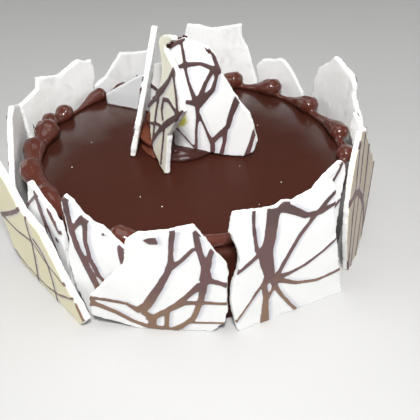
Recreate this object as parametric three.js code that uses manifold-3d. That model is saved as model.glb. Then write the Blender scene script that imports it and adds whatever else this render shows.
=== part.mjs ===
// A round ganache cake with a piped bead border, a piped rosette on top, and broken
// shards of drizzled white chocolate standing round the side and in the rosette.
// Millimetres, +Z up, origin at the middle of the flat base, front of the cake towards -Y.
import * as THREE from 'three';
import { mergeVertices } from 'three/addons/utils/BufferGeometryUtils.js';
import Module from 'manifold-3d';

const wasm = await Module();
wasm.setup();

// Driving dimensions of the cake
const CAKE_RADIUS = 98;
const CAKE_HEIGHT = 48;
const EDGE_ROUND = 4;
const FOOT_CHAMFER = 1;
const SIDE_WAVE = 0.5;
const SIDE_WAVE_TURNS = [3, 8];
const GAP = 0.3;
const SAME_POINT = 0.001;

// Driving dimensions of the piping
const BEAD_OUTER_RADIUS = 101.5;
const BEAD_OUTER_RADIUS_BEHIND_SHARDS = 98.4;
const BEAD_FLATNESS = 0.86;
const BEAD_RISE = 0.36;
const TAIL_INSET = 1.5;
const TAIL_OVERLAP = 0.25;
const TAIL_STATIONS = [0.31, 0.56, 0.95];
const ROSETTE_CENTRE = [-5, 13];
const ROSETTE_RADIUS = 25;
const ROSETTE_HEIGHT = 30;
const ROSETTE_COILS = 3;
const ROSETTE_RIDGE = 2.2;
const ROSETTE_FULLNESS = 0.75;
const ROSETTE_TIP = 8;

// Driving dimensions of the chocolate shards
const SHARD_THICKNESS = 3.4;
const DRIZZLE_HEIGHT = 0.5;
const DRIZZLE_SINK = 1;
const DRIZZLE_STEP = 10;
const THROWN_WIDTHS = [1.8, 3.4];
const THROWN_SPREAD = 1.1;
const THROWN_BOW = 0.5;
const THROWN_OVERSHOOT = 1.2;

// Facet counts
const CAKE_SIDES = 64;
const EDGE_STEPS = 2;
const BEAD_SIDES = 8;
const BEAD_RINGS = 7;
const ROSETTE_SIDES = 28;
const ROSETTE_RINGS = 14;

const GANACHE = { color: 0x55312a, roughness: 0.22, metalness: 0 };
const PIPED_GANACHE = { color: 0x6a3a2e, roughness: 0.28, metalness: 0 };
const WHITE_CHOCOLATE = { color: 0xf1efe6, roughness: 0.45, metalness: 0 };

const radians = THREE.MathUtils.degToRad;
const smooth = (t) => THREE.MathUtils.smoothstep(t, 0, 1);

// A closed solid from a geometry, with shared corners merged and flat triangles dropped
function solidFrom(geometry) {
  const bare = geometry.clone();
  bare.deleteAttribute('normal');
  bare.deleteAttribute('uv');
  const merged = mergeVertices(bare, SAME_POINT);
  const corners = merged.index.array;
  const triVerts = [];
  for (let i = 0; i < corners.length; i += 3) {
    const [a, b, c] = corners.slice(i, i + 3);
    if (a !== b && b !== c && c !== a) triVerts.push(a, b, c);
  }
  const vertProperties = merged.attributes.position.array;
  return new wasm.Manifold(
    new wasm.Mesh({ numProp: 3, vertProperties, triVerts: new Uint32Array(triVerts) }),
  );
}

function geometryFrom(solid) {
  const { vertProperties, triVerts } = solid.getMesh();
  const geometry = new THREE.BufferGeometry();
  geometry.setAttribute('position', new THREE.BufferAttribute(vertProperties, 3));
  geometry.setIndex(new THREE.BufferAttribute(triVerts, 1));
  geometry.computeVertexNormals();
  return geometry;
}

function namedMesh(name, solid, look) {
  const mesh = new THREE.Mesh(geometryFrom(solid), new THREE.MeshStandardMaterial(look));
  mesh.name = name;
  return mesh;
}

// Moves every vertex of a geometry by a rule
function reshape(geometry, rule) {
  const positions = geometry.attributes.position;
  const point = new THREE.Vector3();
  for (let i = 0; i < positions.count; i += 1) {
    point.fromBufferAttribute(positions, i);
    rule(point);
    positions.setXYZ(i, point.x, point.y, point.z);
  }
  return geometry;
}

// Cake body

// The coated cake: flat base, upright side, rounded top edge, faintly wavy side
function cakeSolid(grow = 0) {
  const radius = CAKE_RADIUS + grow;
  const top = CAKE_HEIGHT + grow;
  const outline = new THREE.Path();
  outline.moveTo(0, -grow);
  outline.lineTo(radius - FOOT_CHAMFER, -grow);
  outline.lineTo(radius, FOOT_CHAMFER - grow);
  outline.lineTo(radius, top - EDGE_ROUND);
  outline.absarc(radius - EDGE_ROUND, top - EDGE_ROUND, EDGE_ROUND, 0, Math.PI / 2);
  outline.lineTo(0, top);
  const geometry = new THREE.LatheGeometry(outline.getPoints(EDGE_STEPS), CAKE_SIDES);
  geometry.rotateX(Math.PI / 2);
  const [slow, quick] = SIDE_WAVE_TURNS;
  reshape(geometry, (point) => {
    const turn = Math.atan2(point.y, point.x);
    const share = Math.hypot(point.x, point.y) / radius;
    const wave = SIDE_WAVE * (Math.sin(slow * turn) + Math.sin(quick * turn) / 2);
    const shrink = 1 - (share * Math.abs(wave)) / radius;
    point.x *= shrink;
    point.y *= shrink;
  });
  return solidFrom(geometry);
}

// Piped bead border

// Each bead: the azimuth of its head, its width, how thick its drawn-out tail stays as a share
// of the head, and how far it is set in from the rim, if it is. The tail runs anticlockwise
// until it meets the next bead's head.
const BEADS = [
  [3.8, 13, 0.4], [27.5, 14, 0.25, 2], [49.2, 15, 0.3, 1], [67.5, 14.5, 0.3, 2],
  [88, 13.5, 0.34, 3], [106, 11, 0.4], [117.5, 8.5, 0.5], [129.5, 11, 0.24], [149.4, 13, 0.6],
  [157, 12.5, 0.7, -2.5], [165.5, 17, 0.6, 1], [177.3, 14.5, 0.68], [191.9, 14.5, 0.68],
  [210.5, 13.5, 0.62], [228, 12.5, 0.5], [246.5, 12.5, 0.5], [264, 12.5, 0.55], [290, 12.5, 0.5],
  [311, 12.5, 0.45], [330, 12.5, 0.4], [348.4, 12.5, 0.42],
];
const BEHIND_SHARDS = [200, 345];

function beadRadius([azimuth, width, , inset = 0]) {
  const behind = azimuth > BEHIND_SHARDS[0] && azimuth < BEHIND_SHARDS[1];
  return (behind ? BEAD_OUTER_RADIUS_BEHIND_SHARDS : BEAD_OUTER_RADIUS) - inset - width / 2;
}

// The way along the rim from a bead's middle into the next bead's head
function tailLength(bead, next) {
  const turn = (next[0] - bead[0] + 360) % 360;
  return radians(turn) * beadRadius(bead) - TAIL_OVERLAP * next[1];
}

// A drop's half outline: out along the blunt head, then in along the tail
function dropProfile(half, tail, tailShare, grow) {
  const shoulder = radians(45);
  const tailHalf = tailShare * half;
  const [neck, drawn, end] = TAIL_STATIONS;
  return new THREE.SplineCurve([
    new THREE.Vector2(0, -half),
    new THREE.Vector2(half * Math.cos(shoulder), -half * Math.sin(shoulder)),
    new THREE.Vector2(half, 0),
    new THREE.Vector2((half + tailHalf) / 2, neck * tail),
    new THREE.Vector2(tailHalf, drawn * tail),
    new THREE.Vector2(tailHalf, end * tail),
    new THREE.Vector2(0, tail + grow),
  ]).getPoints(BEAD_RINGS);
}

// A drop laid along the rim: the tail thins, sinks and drifts in a little past the next head
function beadSolid(bead, next, grow = 0) {
  const [azimuth, width, tailShare] = bead;
  const tail = tailLength(bead, next);
  const profile = dropProfile(width / 2 + grow, tail, tailShare, grow);
  profile[0].x = 0;
  profile.at(-1).x = 0;
  const geometry = new THREE.LatheGeometry(profile, BEAD_SIDES);
  const rim = beadRadius(bead);
  const drift = beadRadius(next) - rim - TAIL_INSET;
  reshape(geometry, (point) => {
    const girth = 2 * (Math.hypot(point.x, point.z) - grow);
    const thickness = point.y > 0 ? Math.max(girth, tailShare * width) : width;
    const rise = CAKE_HEIGHT + BEAD_RISE * thickness;
    const turn = radians(azimuth) + point.y / rim;
    const reach = rim + point.x + drift * smooth(point.y / tail);
    const height = rise + point.z * BEAD_FLATNESS;
    point.set(reach * Math.cos(turn), reach * Math.sin(turn), height);
  });
  return solidFrom(geometry);
}

// Rosette in the middle of the top

// A piped swirl: a dome with a rounded coil winding up it
function rosetteSolid() {
  const profile = [new THREE.Vector2(0, 0)];
  for (let ring = 0; ring <= ROSETTE_RINGS; ring += 1) {
    const level = ring / ROSETTE_RINGS;
    const girth = Math.cos((level * Math.PI) / 2) ** ROSETTE_FULLNESS;
    profile.push(new THREE.Vector2(ROSETTE_RADIUS * girth, level * ROSETTE_HEIGHT));
  }
  profile.at(-1).x = 0;
  const geometry = new THREE.LatheGeometry(profile, ROSETTE_SIDES);
  geometry.rotateX(Math.PI / 2);
  reshape(geometry, (point) => {
    const turn = Math.atan2(point.y, point.x);
    const reach = Math.hypot(point.x, point.y);
    const climb = (point.z / ROSETTE_HEIGHT) * ROSETTE_COILS - turn / (2 * Math.PI);
    const ridge = ROSETTE_RIDGE * Math.sin(2 * Math.PI * climb) * Math.min(reach / ROSETTE_TIP, 1);
    const share = reach > 0 && point.z > 0 ? (reach + ridge) / reach : 1;
    point.x = ROSETTE_CENTRE[0] + point.x * share;
    point.y = ROSETTE_CENTRE[1] + point.y * share;
    point.z += CAKE_HEIGHT + GAP;
  });
  return solidFrom(geometry);
}

// Chocolate shards

// A shard stands in a plane that faces `azimuth`, `reach` from the cake's axis, leaning
// outwards by `lean`. Its outline runs in that plane: across to the right seen from
// outside, then up. `drizzle` lines hold the points they pass and their widths there.
const SIDE_SHARDS = {
  shard_front: {
    azimuth: 262, reach: 103, lean: 3,
    outline: [
      [-17, 0], [22, 0], [29, 8], [30.5, 18], [30, 31], [31, 44], [30, 50], [22, 63], [15, 74],
      [1, 70], [-12, 68], [-18, 62], [-19, 54], [-21, 47], [-32, 34], [-41, 23], [-42, 9],
    ],
    drizzle: [
      [[6, 73, 3], [4, 60, 2.5], [3, 49, 3], [-1, 39, 4], [-10, 21, 5.2], [-15, 15, 6]],
      [[16, 72, 2.2], [17, 64, 3.4], [18, 57, 3], [20, 49, 4], [20, 39, 7]],
      [[24, 63, 2.4], [22.5, 56, 2.8], [21, 48, 3.6]],
      [[15, 61, 2], [9, 53, 2.2], [3, 47, 3]],
      [[32, 36, 5], [27, 38, 2.6], [20, 39, 5], [13, 31, 2.8], [3, 19, 3.4], [-12, 7, 4]],
      [[19, 37, 4], [17, 25, 3.2], [11, 8, 3.2], [-2, -1, 3.6]],
      [[32, 23, 2.2], [16, 23, 2.4], [8, 22, 3.4], [2, 18, 4]],
      [[-44, 22, 4], [-37, 23, 2.4], [-22, 20, 2.2], [-15, 14, 4]],
      [[-44, 19, 5], [-36, 18, 3.4], [-23, 9, 2.8], [-15, 3, 3], [-1, 1, 4]],
      [[31, 8, 1.6], [9, 7, 2]],
      [[-14, 14, 4], [-9, 9, 4.6], [-10, 2, 4.6]],
      [[-1, 15, 3], [-2, 2, 2.6]],
      [[-9, 65, 0.6], [-6, 64.5, 4], [-2, 65, 5]],
    ],
  },
  shard_front_right: {
    azimuth: 292, reach: 106, lean: 0,
    outline: [
      [-20, 0], [46, 0], [42, 22], [37, 45], [34, 62], [33, 77], [31.5, 80], [28, 80], [18, 77],
      [10, 75], [4, 77.5], [0, 75], [-12, 77], [-22, 79], [-24, 68], [-20.5, 58], [-19, 50],
      [-20, 43], [-23, 34], [-23.6, 28], [-23.4, 20],
    ],
    drizzle: [
      [[-1, 79, 8], [-2, 67, 6.8], [-3, 57, 7], [-5, 50, 8.4], [-4, 43, 8], [-2, 33, 6]],
      [[-12, 78, 2.2], [-12, 69, 1.8], [-10, 53, 2.4], [-7, 48, 3]],
      [[-25, 39, 2.4], [-14, 46, 2.6], [-7, 51, 3]],
      [[-23, 5, 1.4], [-15, 16, 1.6], [-6, 29, 2]],
      [[-3, 32, 6], [-5, 27, 3.4], [-4, 19, 3.2], [-4, -1, 6]],
      [[1, 29, 2], [0, 22, 1.8], [-3, 16, 2]],
      [[1, 29, 4], [6, 38, 2.6], [14, 53, 2.6], [25, 66, 3], [34, 75, 2.2]],
      [[-1, 30, 4], [13, 30, 2], [26, 35, 2], [39, 44, 1.8]],
      [[-2, 31, 5], [6, 26, 2.6], [21, 18, 2.2], [36, 18, 2.2], [45, 20, 2]],
      [[0, 77, 6.5], [9, 71, 4.6], [17, 65, 3.6], [26, 64, 3], [36, 68, 2.2]],
      [[-1, 30, 3], [6, 15, 2.2], [17, -2, 2]],
    ],
  },
  shard_right_front: {
    azimuth: 304, reach: 102.2, lean: 0,
    outline: [
      [-4, 0], [23, 0], [25, 30], [26, 53], [26.5, 74], [25, 80.5], [23, 81.5], [11, 76], [2, 70],
      [-5, 58], [-6, 30],
    ],
    drizzle: [
      [[24, 85, 2], [21, 77, 2.2], [4, 56, 2.4], [-8, 40, 2.4]],
      [[21, 87, 1.2], [16, 80, 1.4], [7, 75, 2], [-7, 66, 2]],
      [[28, 57, 2.4], [22, 56, 2.6], [2, 34, 2.4], [-4, -1, 2.4]],
    ],
  },
  shard_right: {
    azimuth: 330, reach: 109.8, lean: -2,
    outline: [
      [-11, 0], [9, 0], [18, 13], [24, 28], [27, 44], [28, 52], [20, 62], [16, 67], [4, 80],
      [-3, 89], [-9, 92], [-15, 82], [-18, 75], [-21, 64], [-22, 55], [-19, 29],
    ],
    drizzle: [
      [[-12, 90, 2.4], [-12, 59, 2.4], [-13, 42, 2.4], [-11, -2, 2.4]],
      [[-3, 92, 2], [-4, 54, 2], [-4, 36, 2], [-6, -2, 2]],
      [[8, 80, 2.4], [8, 48, 2.4], [7, 28, 2.2], [4, -2, 2.2]],
      [[27, 60, 2], [22, 36, 2], [12, 0, 2]],
      [[-24, 54, 5], [-15, 56, 4.6], [-2, 50, 4], [13, 28, 3], [15, 6, 2.6]],
    ],
  },
  shard_right_inner: {
    azimuth: 45, reach: 69, lean: 2, seed: 47, lines: 3,
    outline: [
      [-84, 0], [-75, 0], [-76, 46], [-73.5, 53], [-70.5, 60], [-72.5, 71], [-77, 66], [-79.5, 62],
      [-81.5, 63], [-83, 54], [-85, 30],
    ],
  },
  shard_right_back: {
    azimuth: 27, reach: 105, lean: 3, seed: 11, lines: 4,
    outline: [
      [-30, 0], [12, 0], [14, 30], [12, 64], [9, 73], [-1, 81], [-5, 86], [-14, 83], [-22, 80],
      [-27, 73], [-27, 67], [-36, 55], [-42, 36], [-39, 18],
    ],
  },
  shard_back_right: {
    azimuth: 55, reach: 104, lean: 3, seed: 17, lines: 4,
    outline: [
      [-24, 0], [10, 0], [12, 28], [7, 50], [9, 61], [4, 67], [-4, 68], [-9, 70], [-13, 69],
      [-19, 63], [-29, 48], [-30, 20],
    ],
  },
  shard_back: {
    azimuth: 82, reach: 104, lean: 3, seed: 23, lines: 5,
    outline: [
      [-36, 0], [24, 0], [22, 40], [13, 76], [11, 88], [1, 87], [-8, 85], [-20, 87], [-28, 88],
      [-29, 78], [-33, 71], [-40, 46], [-42, 20],
    ],
  },
  shard_back_left: {
    azimuth: 113, reach: 110, lean: 3, seed: 29, lines: 5,
    outline: [
      [-22, 0], [20, 0], [26, 30], [27, 49], [16, 55], [2, 71], [-8, 69], [-19, 68], [-24, 40],
    ],
  },
  shard_left_back: {
    azimuth: 141, reach: 104, lean: 3, seed: 31, lines: 5,
    outline: [
      [-22, 0], [32, 0], [37, 30], [39, 66], [31, 68], [23, 71], [21, 78], [2, 73], [-8, 75],
      [-16, 77], [-22, 73], [-27, 73], [-28, 59], [-24, 52], [-27, 25],
    ],
  },
  shard_left: {
    azimuth: 182, reach: 105.5, lean: 1, seed: 37, lines: 5,
    outline: [
      [-30, 0], [20, 0], [22, 30], [20, 46], [4, 60], [-10, 74], [-20, 76], [-33, 70], [-34, 35],
    ],
  },
  shard_left_outer: {
    azimuth: 218, reach: 108.2, lean: 2.5, thickness: 4.4,
    outline: [
      [-30, 2], [36, 0], [42, 8], [38, 17], [28, 27], [19, 44], [13, 53], [4, 55], [-5, 57],
      [-11, 67], [-22, 78], [-30, 76], [-40, 52], [-36, 15],
    ],
    drizzle: [
      [[-38, 35, 3], [-10, 53, 2.6], [9, 72, 2]],
      [[-38, 36, 1.6], [-17, 35, 1.6], [1, 38, 1.8], [12, 31, 1.6], [40, 22, 1.6]],
      [[4, 75, 1.8], [0, 47, 1.8], [-1, 31, 2], [-10, -1, 1.8]],
      [[3, 42, 2.4], [13, 35, 1.8], [14, 17, 1.6], [12, -1, 1.8]],
      [[-36, 13, 1.4], [-24, 6, 1.4], [10, 7, 1.6], [40, 23, 1.6]],
      [[33, 26, 1.6], [39, 14, 2.2], [42, 3, 2.4]],
    ],
  },
  shard_left_inner: {
    azimuth: 222, reach: 102.5, lean: 1.5,
    outline: [
      [-14, 0], [14, 0], [16, 40], [16.5, 50], [15.5, 60], [12, 59], [9.5, 64], [1, 69], [-5, 75],
      [-7.5, 74.5], [-9, 68], [-14, 56], [-16, 30],
    ],
    drizzle: [
      [[-3, 80, 2.4], [-1, 71, 2.6], [2, 57, 2.2], [8, 30, 2]],
      [[-17, 53, 1.6], [-1, 69, 1.8]],
      [[0, 69, 1.6], [-2, 62, 1.6], [1, 48, 1.8], [-4, 20, 1.8]],
      [[7, 72, 2.4], [9, 63, 3.6], [15, 52, 3]],
      [[10, 47, 2.6], [10, 44, 2.6]],
    ],
  },
  shard_front_left: {
    azimuth: 250, reach: 102.5, lean: 0.5,
    outline: [
      [-25, 0], [-15, 0], [-11, 28], [0, 43], [3, 52], [-3, 58], [-9, 65], [-13, 66], [-19, 71],
      [-22.5, 78], [-26, 80.5], [-28, 78], [-28, 54], [-31, 43], [-30, 20],
    ],
    drizzle: [
      [[-25, 84, 3.6], [-26, 71, 3], [-24, 49, 3.6], [-17, 24, 4.4], [-15, 8, 4]],
      [[-15, 75, 3.8], [-18, 63, 2.4], [-19, 50, 2.6], [-16, 35, 2.6], [-9, 24, 3]],
      [[-25, 61, 2.6], [-16, 73, 3]],
      [[-9, 62, 2.6], [-7.5, 61, 1.6]],
      [[-1, 56, 1.5], [0, 51, 4.2], [-1, 43.5, 1]],
    ],
  },
};

// Shards that stand on the cake's top, in and against the rosette
const TOP_SHARDS = {
  top_shard_front: {
    azimuth: 258, reach: 4.5, lean: -8, presses: 14,
    outline: [
      [-8, 5], [14, 2], [25, 0], [35, 0], [41, 4], [43, 11], [41, 18], [38, 28], [31, 35],
      [21, 51], [18, 61], [13, 66], [0, 70], [-11, 66], [-6, 51], [-5, 34], [-2, 27], [-8, 16],
    ],
    drizzle: [
      [[-2, 71, 1.4], [0, 56, 2], [1, 48, 1.4], [6, 33, 3]],
      [[-5, 53, 1.8], [0, 55, 2.8], [9, 56, 2.2], [18, 53, 3], [22, 52, 3]],
      [[13, 65, 0.8], [16, 62, 2.2], [19, 55, 3.2], [18, 48, 2], [16, 41, 2.8], [7, 31, 4.6]],
      [[16, 53, 2.2], [12, 45, 2.2], [7, 33, 3]],
      [[0, 33, 2.6], [7, 32, 3.4]],
      [[7, 32, 3], [7, 23, 2], [6, 15, 1.6], [6, 2, 1.8]],
      [[8, 26, 1.5], [12, 16, 1.5], [16, 7, 3], [16, 0, 3]],
      [[31, 38, 4.4], [27, 27, 3.4], [25, 19, 3], [15, 8, 3.2]],
      [[24, 18, 2.4], [23, 9, 2.4], [21, -1, 2.6]],
      [[-9, 20, 1.2], [-2, 12, 1.3], [6, 3, 1.6]],
      [[42, 22, 2], [39, 9, 2.6], [36, -1, 3.4]],
      [[-11, 64, 4.6], [-5, 68, 4], [1, 70, 1.6]],
    ],
  },
  top_shard_middle: {
    azimuth: 205, reach: 23.5, lean: -6,
    outline: [
      [14, 0], [17, 0], [18, 26], [22, 31], [28, 38], [36, 49], [32, 49], [29, 57], [24, 66],
      [12, 72.5], [11, 75], [16, 78], [20, 81], [19, 82.5], [11, 81], [5, 78], [4, 74], [9, 61],
      [6, 50], [-4, 38], [-10, 32], [-7, 29], [-5, 13], [1, 6],
    ],
    drizzle: [
      [[-11, 30, 3.4], [2, 42, 3.6], [8, 48, 4.4], [16, 56, 3], [23, 67, 2.2]],
      [[22, 66, 2.4], [27, 54, 2.8], [30, 43, 3]],
      [[7, 46, 2.4], [3, 35, 2.4], [-2, 9, 2]],
      [[12, 32, 2.6], [10, 38, 3], [12, 45, 3], [18, 47, 3], [29, 44, 2.6]],
      [[37, 50, 1.4], [30, 43, 3], [21, 36, 4.2], [13, 29, 4], [6, 22, 2.8], [-5, 8, 2]],
      [[-7, 22, 1.8], [6, 27, 2], [13, 28, 2.2]],
      [[14, 29, 2.2], [11, 3, 2.2]],
    ],
  },
  top_shard_left: {
    azimuth: 174, reach: 35, lean: -13, seed: 41, lines: 4,
    outline: [
      [-27, 0], [8.5, 0], [6.5, 22], [-2.5, 55], [-7.5, 77], [-15, 75], [-22, 58], [-30, 34],
    ],
  },
  top_shard_inner: {
    azimuth: 212, reach: 10, lean: -6, seed: 53, lines: 2,
    outline: [
      [-26, 0], [-10, 0], [-10, 40], [-12, 53], [-16, 53.5], [-21, 51.5], [-26, 49], [-29, 30],
    ],
  },
  top_shard_back: {
    azimuth: 64.5, reach: 39, lean: 0, seed: 43, lines: 3,
    outline: [
      [28, 0], [78, 0], [78, 8], [62, 19], [43, 31], [31, 38], [25, 24],
    ],
  },
};

// A repeatable run of numbers from 0 to 1
function numberRun(seed) {
  const factor = 16807;
  const modulus = 2 ** 31 - 1;
  const stride = 7919;
  let state = seed * stride;
  return () => {
    state = (state * factor) % modulus;
    return state / modulus;
  };
}

// Thrown drizzle: long shallow arcs that cross a shard from edge to edge at changing slants
function thrownDrizzle({ outline, seed, lines }) {
  const next = numberRun(seed);
  const across = outline.map(([x]) => x);
  const up = outline.map(([, y]) => y);
  const middle = [
    (Math.min(...across) + Math.max(...across)) / 2,
    (Math.min(...up) + Math.max(...up)) / 2,
  ];
  const half = [Math.max(...across) - middle[0], Math.max(...up) - middle[1]];
  const drizzle = [];
  for (let i = 0; i < lines; i += 1) {
    const slant = (Math.PI * (i + next())) / lines;
    const offset = (next() - 0.5) * THROWN_SPREAD;
    const bow = (next() - 0.5) * THROWN_BOW;
    const at = (along, aside) => [
      middle[0] + half[0] * (along * Math.cos(slant) - (offset + aside) * Math.sin(slant)),
      middle[1] + half[1] * (along * Math.sin(slant) + (offset + aside) * Math.cos(slant)),
    ];
    const width = () => THREE.MathUtils.lerp(...THROWN_WIDTHS, next());
    const path = [at(-THROWN_OVERSHOOT, 0), at(0, bow), at(THROWN_OVERSHOOT, -bow)];
    drizzle.push(path.map((point) => [...point, width()]));
  }
  return drizzle;
}

function outlineShape(outline) {
  return new THREE.Shape(outline.map(([x, y]) => new THREE.Vector2(x, y)));
}

// A flat slab of an outline between two heights of the shard's own plane
function slab(shape, from, to) {
  const geometry = new THREE.ExtrudeGeometry(shape, { depth: to - from, bevelEnabled: false });
  geometry.translate(0, 0, from);
  return solidFrom(geometry);
}

// One drizzle line as a flat ribbon that widens and thins along its way
function ribbonShape(points) {
  const curve = new THREE.SplineCurve(points.map(([x, y]) => new THREE.Vector2(x, y)));
  const spans = points.length - 1;
  const steps = Math.max(spans, Math.round(curve.getLength() / DRIZZLE_STEP));
  const left = [];
  const right = [];
  for (let i = 0; i <= steps; i += 1) {
    const share = i / steps;
    const span = Math.min(Math.floor(share * spans), spans - 1);
    const [from, to] = [points[span][2], points[span + 1][2]];
    const half = THREE.MathUtils.lerp(from, to, share * spans - span) / 2;
    const centre = curve.getPoint(share);
    const along = curve.getTangent(share);
    left.push(new THREE.Vector2(centre.x - along.y * half, centre.y + along.x * half));
    right.unshift(new THREE.Vector2(centre.x + along.y * half, centre.y - along.x * half));
  }
  return new THREE.Shape([...left, ...right]);
}

// A shard in its own plane: the plate behind height 0 and its drizzle raised in front of it
function shardSolid(shard) {
  const { outline, thickness = SHARD_THICKNESS, drizzle = thrownDrizzle(shard) } = shard;
  const shape = outlineShape(outline);
  const room = slab(shape, -thickness, 2 * DRIZZLE_HEIGHT);
  let solid = slab(shape, -thickness, 0);
  for (const line of drizzle) {
    const ribbon = slab(ribbonShape(line), -DRIZZLE_SINK, DRIZZLE_HEIGHT);
    solid = solid.add(ribbon.intersect(room));
  }
  return solid;
}

// The place that a shard takes out of the rosette: its plate with a gap on both faces, and
// as far in front of it as it `presses` the soft swirl away
function shardSlot({ outline, presses = 0 }) {
  const front = DRIZZLE_HEIGHT + GAP + presses;
  return slab(outlineShape(outline), -SHARD_THICKNESS - GAP, front);
}

// Stands a shard's mesh in its plane on a level, in a group turned to its azimuth
function stand(mesh, { azimuth, reach, lean, thickness = SHARD_THICKNESS }, level) {
  const tilt = radians(lean);
  const lift = lean > 0 ? DRIZZLE_HEIGHT * Math.sin(tilt) : thickness * Math.sin(-tilt);
  const turned = new THREE.Group();
  turned.rotation.z = radians(azimuth + 90);
  mesh.position.set(0, -reach, level + lift);
  mesh.rotation.x = Math.PI / 2 + tilt;
  turned.add(mesh);
  turned.updateMatrixWorld(true);
  return turned;
}

// Assembly

const cake = new THREE.Group();
cake.add(namedMesh('cake_body', cakeSolid(), GANACHE));

const cakeRoom = cakeSolid(GAP);
BEADS.forEach((bead, i) => {
  const next = BEADS[(i + 1) % BEADS.length];
  const afterNext = BEADS[(i + 2) % BEADS.length];
  const solid = beadSolid(bead, next).subtract(beadSolid(next, afterNext, GAP)).subtract(cakeRoom);
  const number = String(i + 1).padStart(2, '0');
  cake.add(namedMesh(`border_bead_${number}`, solid, PIPED_GANACHE));
});

for (const [name, shard] of Object.entries(SIDE_SHARDS)) {
  cake.add(stand(namedMesh(name, shardSolid(shard), WHITE_CHOCOLATE), shard, 0));
}

let rosette = rosetteSolid();
for (const [name, shard] of Object.entries(TOP_SHARDS)) {
  const mesh = namedMesh(name, shardSolid(shard), WHITE_CHOCOLATE);
  cake.add(stand(mesh, shard, CAKE_HEIGHT + GAP));
  const slot = geometryFrom(shardSlot(shard)).applyMatrix4(mesh.matrixWorld);
  rosette = rosette.subtract(solidFrom(slot));
}
cake.add(namedMesh('rosette', rosette, PIPED_GANACHE));

export default cake;
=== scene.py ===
"""Dresses a packed ganache cake: poured coat, piped border and rosette, drizzled chocolate shards."""

import math

import bpy
import numpy as np
from bpy.props import FloatProperty, FloatVectorProperty, IntProperty, PointerProperty
from bpy.types import Operator, Panel, PropertyGroup
from mathutils import Matrix, Quaternion, Vector


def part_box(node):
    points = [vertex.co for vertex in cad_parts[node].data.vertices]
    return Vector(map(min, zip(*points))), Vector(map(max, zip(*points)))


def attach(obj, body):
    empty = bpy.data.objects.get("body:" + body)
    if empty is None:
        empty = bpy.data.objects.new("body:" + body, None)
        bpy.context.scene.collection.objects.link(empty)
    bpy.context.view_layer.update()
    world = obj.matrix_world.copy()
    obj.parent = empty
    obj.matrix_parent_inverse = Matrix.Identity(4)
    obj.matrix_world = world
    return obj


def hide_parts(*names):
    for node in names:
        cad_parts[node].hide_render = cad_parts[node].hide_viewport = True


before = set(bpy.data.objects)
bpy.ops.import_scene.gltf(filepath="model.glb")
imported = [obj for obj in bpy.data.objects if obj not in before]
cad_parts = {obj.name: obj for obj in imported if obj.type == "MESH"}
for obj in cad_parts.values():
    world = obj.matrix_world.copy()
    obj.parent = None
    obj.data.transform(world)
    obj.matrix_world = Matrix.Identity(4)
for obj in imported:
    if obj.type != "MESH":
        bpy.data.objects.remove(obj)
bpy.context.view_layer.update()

bl_info = {
    "name": "Ganache Cake",
    "version": (1, 0, 0),
    "blender": (4, 5, 0),
    "location": "3D View > Sidebar > Cake",
    "description": "Models and finishes a ganache cake with piped border and chocolate shards",
    "category": "Object",
}

MM = 0.001
BEADS = sorted(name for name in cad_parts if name.startswith("border_bead"))
SIDE_SHARDS = sorted(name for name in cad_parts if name.startswith("shard"))
TOP_SHARDS = sorted(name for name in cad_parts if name.startswith("top_shard"))

# A yellow-green spot near a corner of a shard, in millimetres
SPOTTED = "top_shard_front"
SPOT_PLACE = (-4, -0.6, 70)
SPOT_RADIUS = 9

# Dark crumbs for each shard, in millimetres: the range of their radii, and places near its edge
CRUMBS = {
    "top_shard_front": ((0.8, 1.5), (
        (-8, 9.8, 112), (-7, 9.7, 114), (-5.5, 9.6, 115), (-4, 9.4, 116),
        (-2.5, 9, 117), (-1, 8.8, 117), (1, 8.4, 118), (2.5, 8, 118))),
    "top_shard_middle": ((0.8, 1.5), (
        (-9.3, -13.4, 121.7), (-8, -15.5, 124), (-6.7, -18, 125.7), (-5.3, -20.5, 127.5),
        (-6.5, -18.6, 124))),
    "top_shard_back": ((0.4, 0.7), (
        (-25, 55, 77), (-32.5, 58, 75), (-43, 63, 66), (-47.5, 65, 62))),
}

# Drawn-out tips of a bead and of a drizzle line, in millimetres: start, end and thickness
TIPS = (
    ((-95, 18.3, 55.5), (-96.8, 21.5, 60.5), 0.9),
    ((15, 1, 110.5), (11.5, 2, 114), 0.8),
)

# Pale flecks on the coat, in millimetres: their places, a height above the coat to drop them from,
# the range of their radii, and their flatness
FLECKS = ((-61, 16), (52, -39), (37, -59), (46, 27), (-28, -46), (-16, -56), (30, -20), (-70, -12))
FLECK_DROP = 60
FLECK_RADII = (0.22, 0.42)
FLECK_FLATNESS = 0.6
CRUMB_SEED = 5

# A distance in millimetres that no painted shadow of the drizzle reaches, and a depth between a plate's
# faces
FAR_FROM_DRIZZLE = 4
INSIDE_PLATE = 0.5

# Patch sizes of the unevenness of the coat, and of the shards' edges, inner faces and whole plates
COAT_PATCH = 45 * MM
BREAK_PATCH = 7 * MM
CRUMBLE_PATCH = 2 * MM
SPREAD_PATCH = 14 * MM
WARP_PATCH = 60 * MM

# Rounds of smoothing of the piping
BORDER_ROUNDS = 12
ROSETTE_ROUNDS = 8

# Rings of the coat's round faces, and heights at which its side is cut, as shares of its height
COAT_RINGS = 10
SIDE_CUTS = (0.2, 0.4, 0.6, 0.8)

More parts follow.
